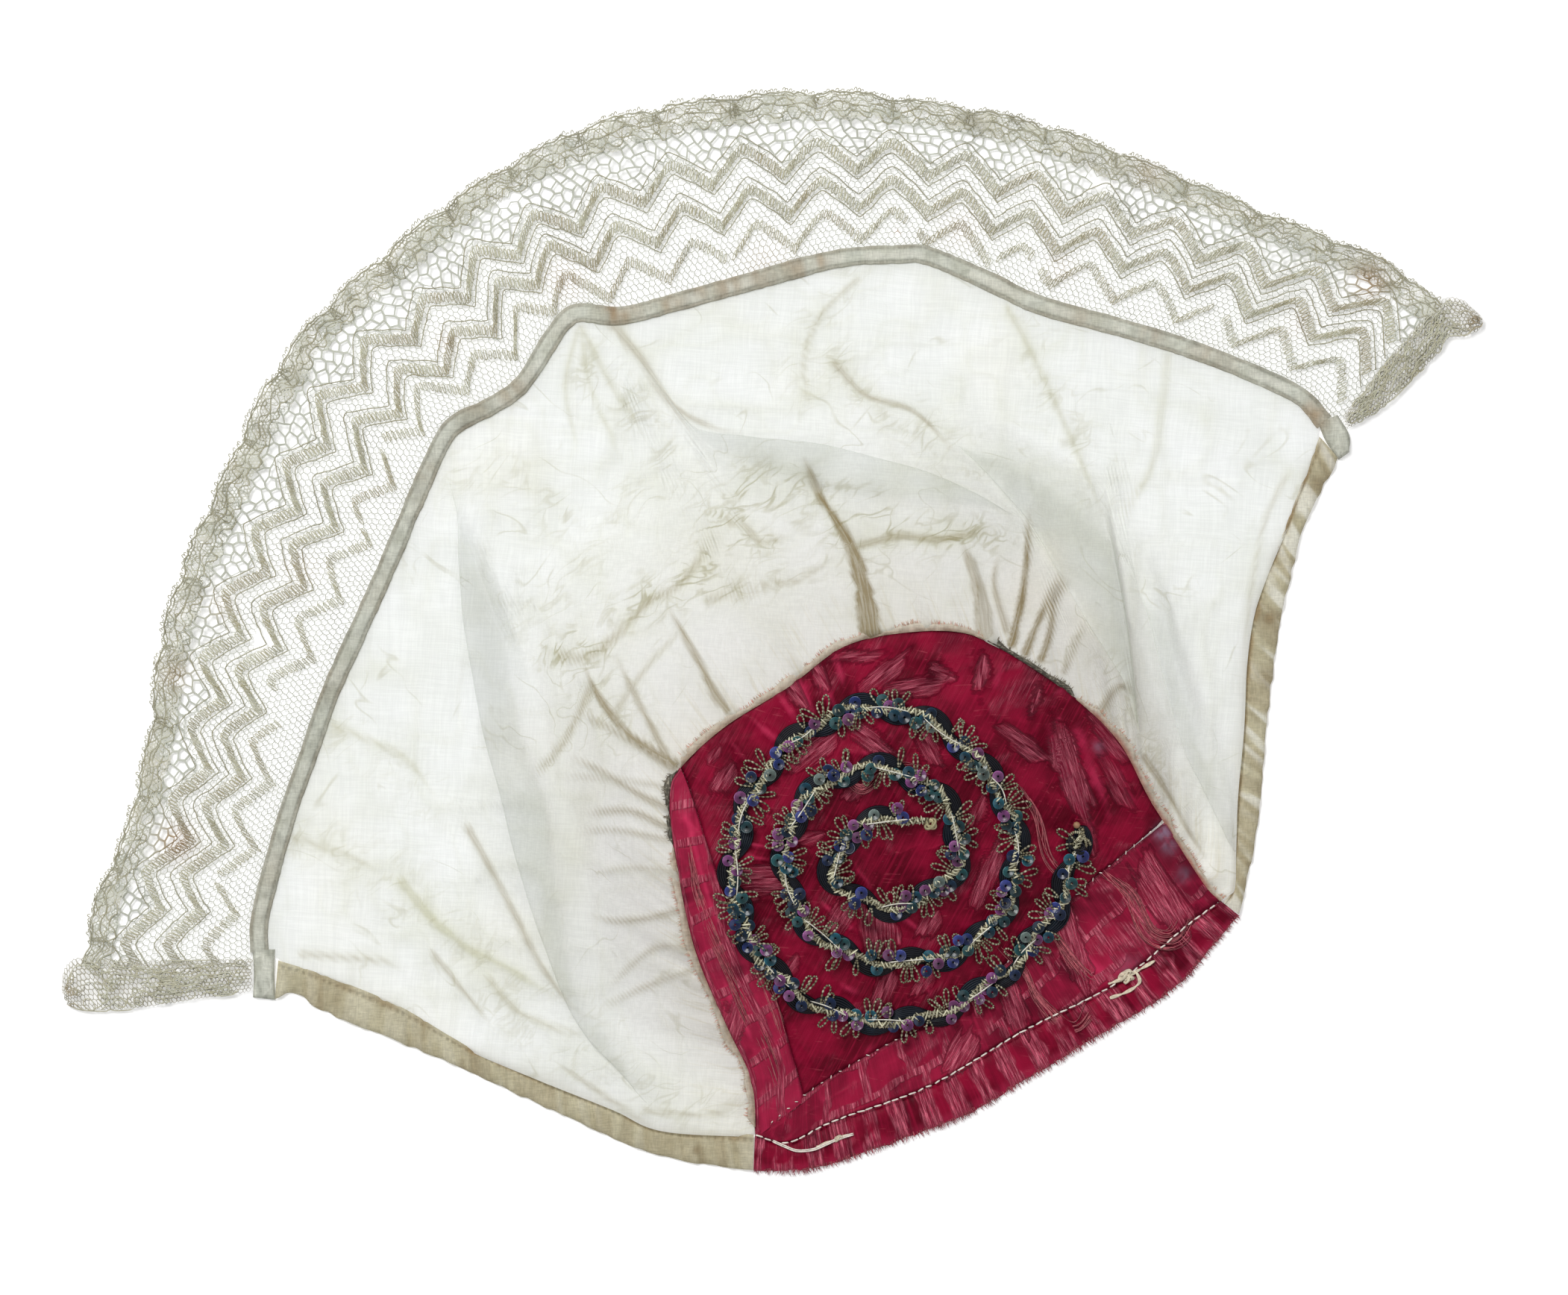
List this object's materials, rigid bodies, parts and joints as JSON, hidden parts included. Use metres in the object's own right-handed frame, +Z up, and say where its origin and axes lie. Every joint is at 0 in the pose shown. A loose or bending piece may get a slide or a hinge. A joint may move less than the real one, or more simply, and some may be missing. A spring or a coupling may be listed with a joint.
{
  "type": "folk cap",
  "caption": "Woman's folk cap laid flat: brocade crown with a spiral of sequin braid, gathered muslin head part, taped face seam, embroidered net frill and neck casings.",
  "frame": {"origin": "on the table, under the middle of the bounding box", "axes": "+X towards the knotted right end of the frill, +Y towards the frill's top edge, +Z up off the table"},
  "size_m": [0.4532, 0.3439, 0.0336],
  "materials": {
    "brocade": "crimson silk brocade",
    "brocade_worn": "worn crimson silk brocade",
    "muslin": "thin white muslin",
    "net": "embroidered net, greyed",
    "tape": "grey cotton tape",
    "casing": "beige linen",
    "selvage": "cream selvage",
    "galloon": "tarnished metal galloon",
    "braid": "black gimp with metal cord and sequins"
  },
  "bodies": {
    "root": {"crown_panel": "brocade", "crown_side_strip": "brocade_worn", "crown_nape_strip": "brocade_worn", "nape_hem": "brocade", "spiral_braid": "braid", "selvage_left": "selvage", "selvage_top": "selvage", "selvage_right": "selvage", "galloon_left": "galloon", "galloon_right": "galloon", "head_panel": "muslin", "face_binding": "tape", "binding_tab_left": "tape", "binding_tab_right": "tape", "lace_frill": "net", "lace_border": "net", "lace_end_left": "net", "lace_end_right": "net", "neck_band_left": "casing", "neck_band_right": "casing"}
  },
  "joints": []
}
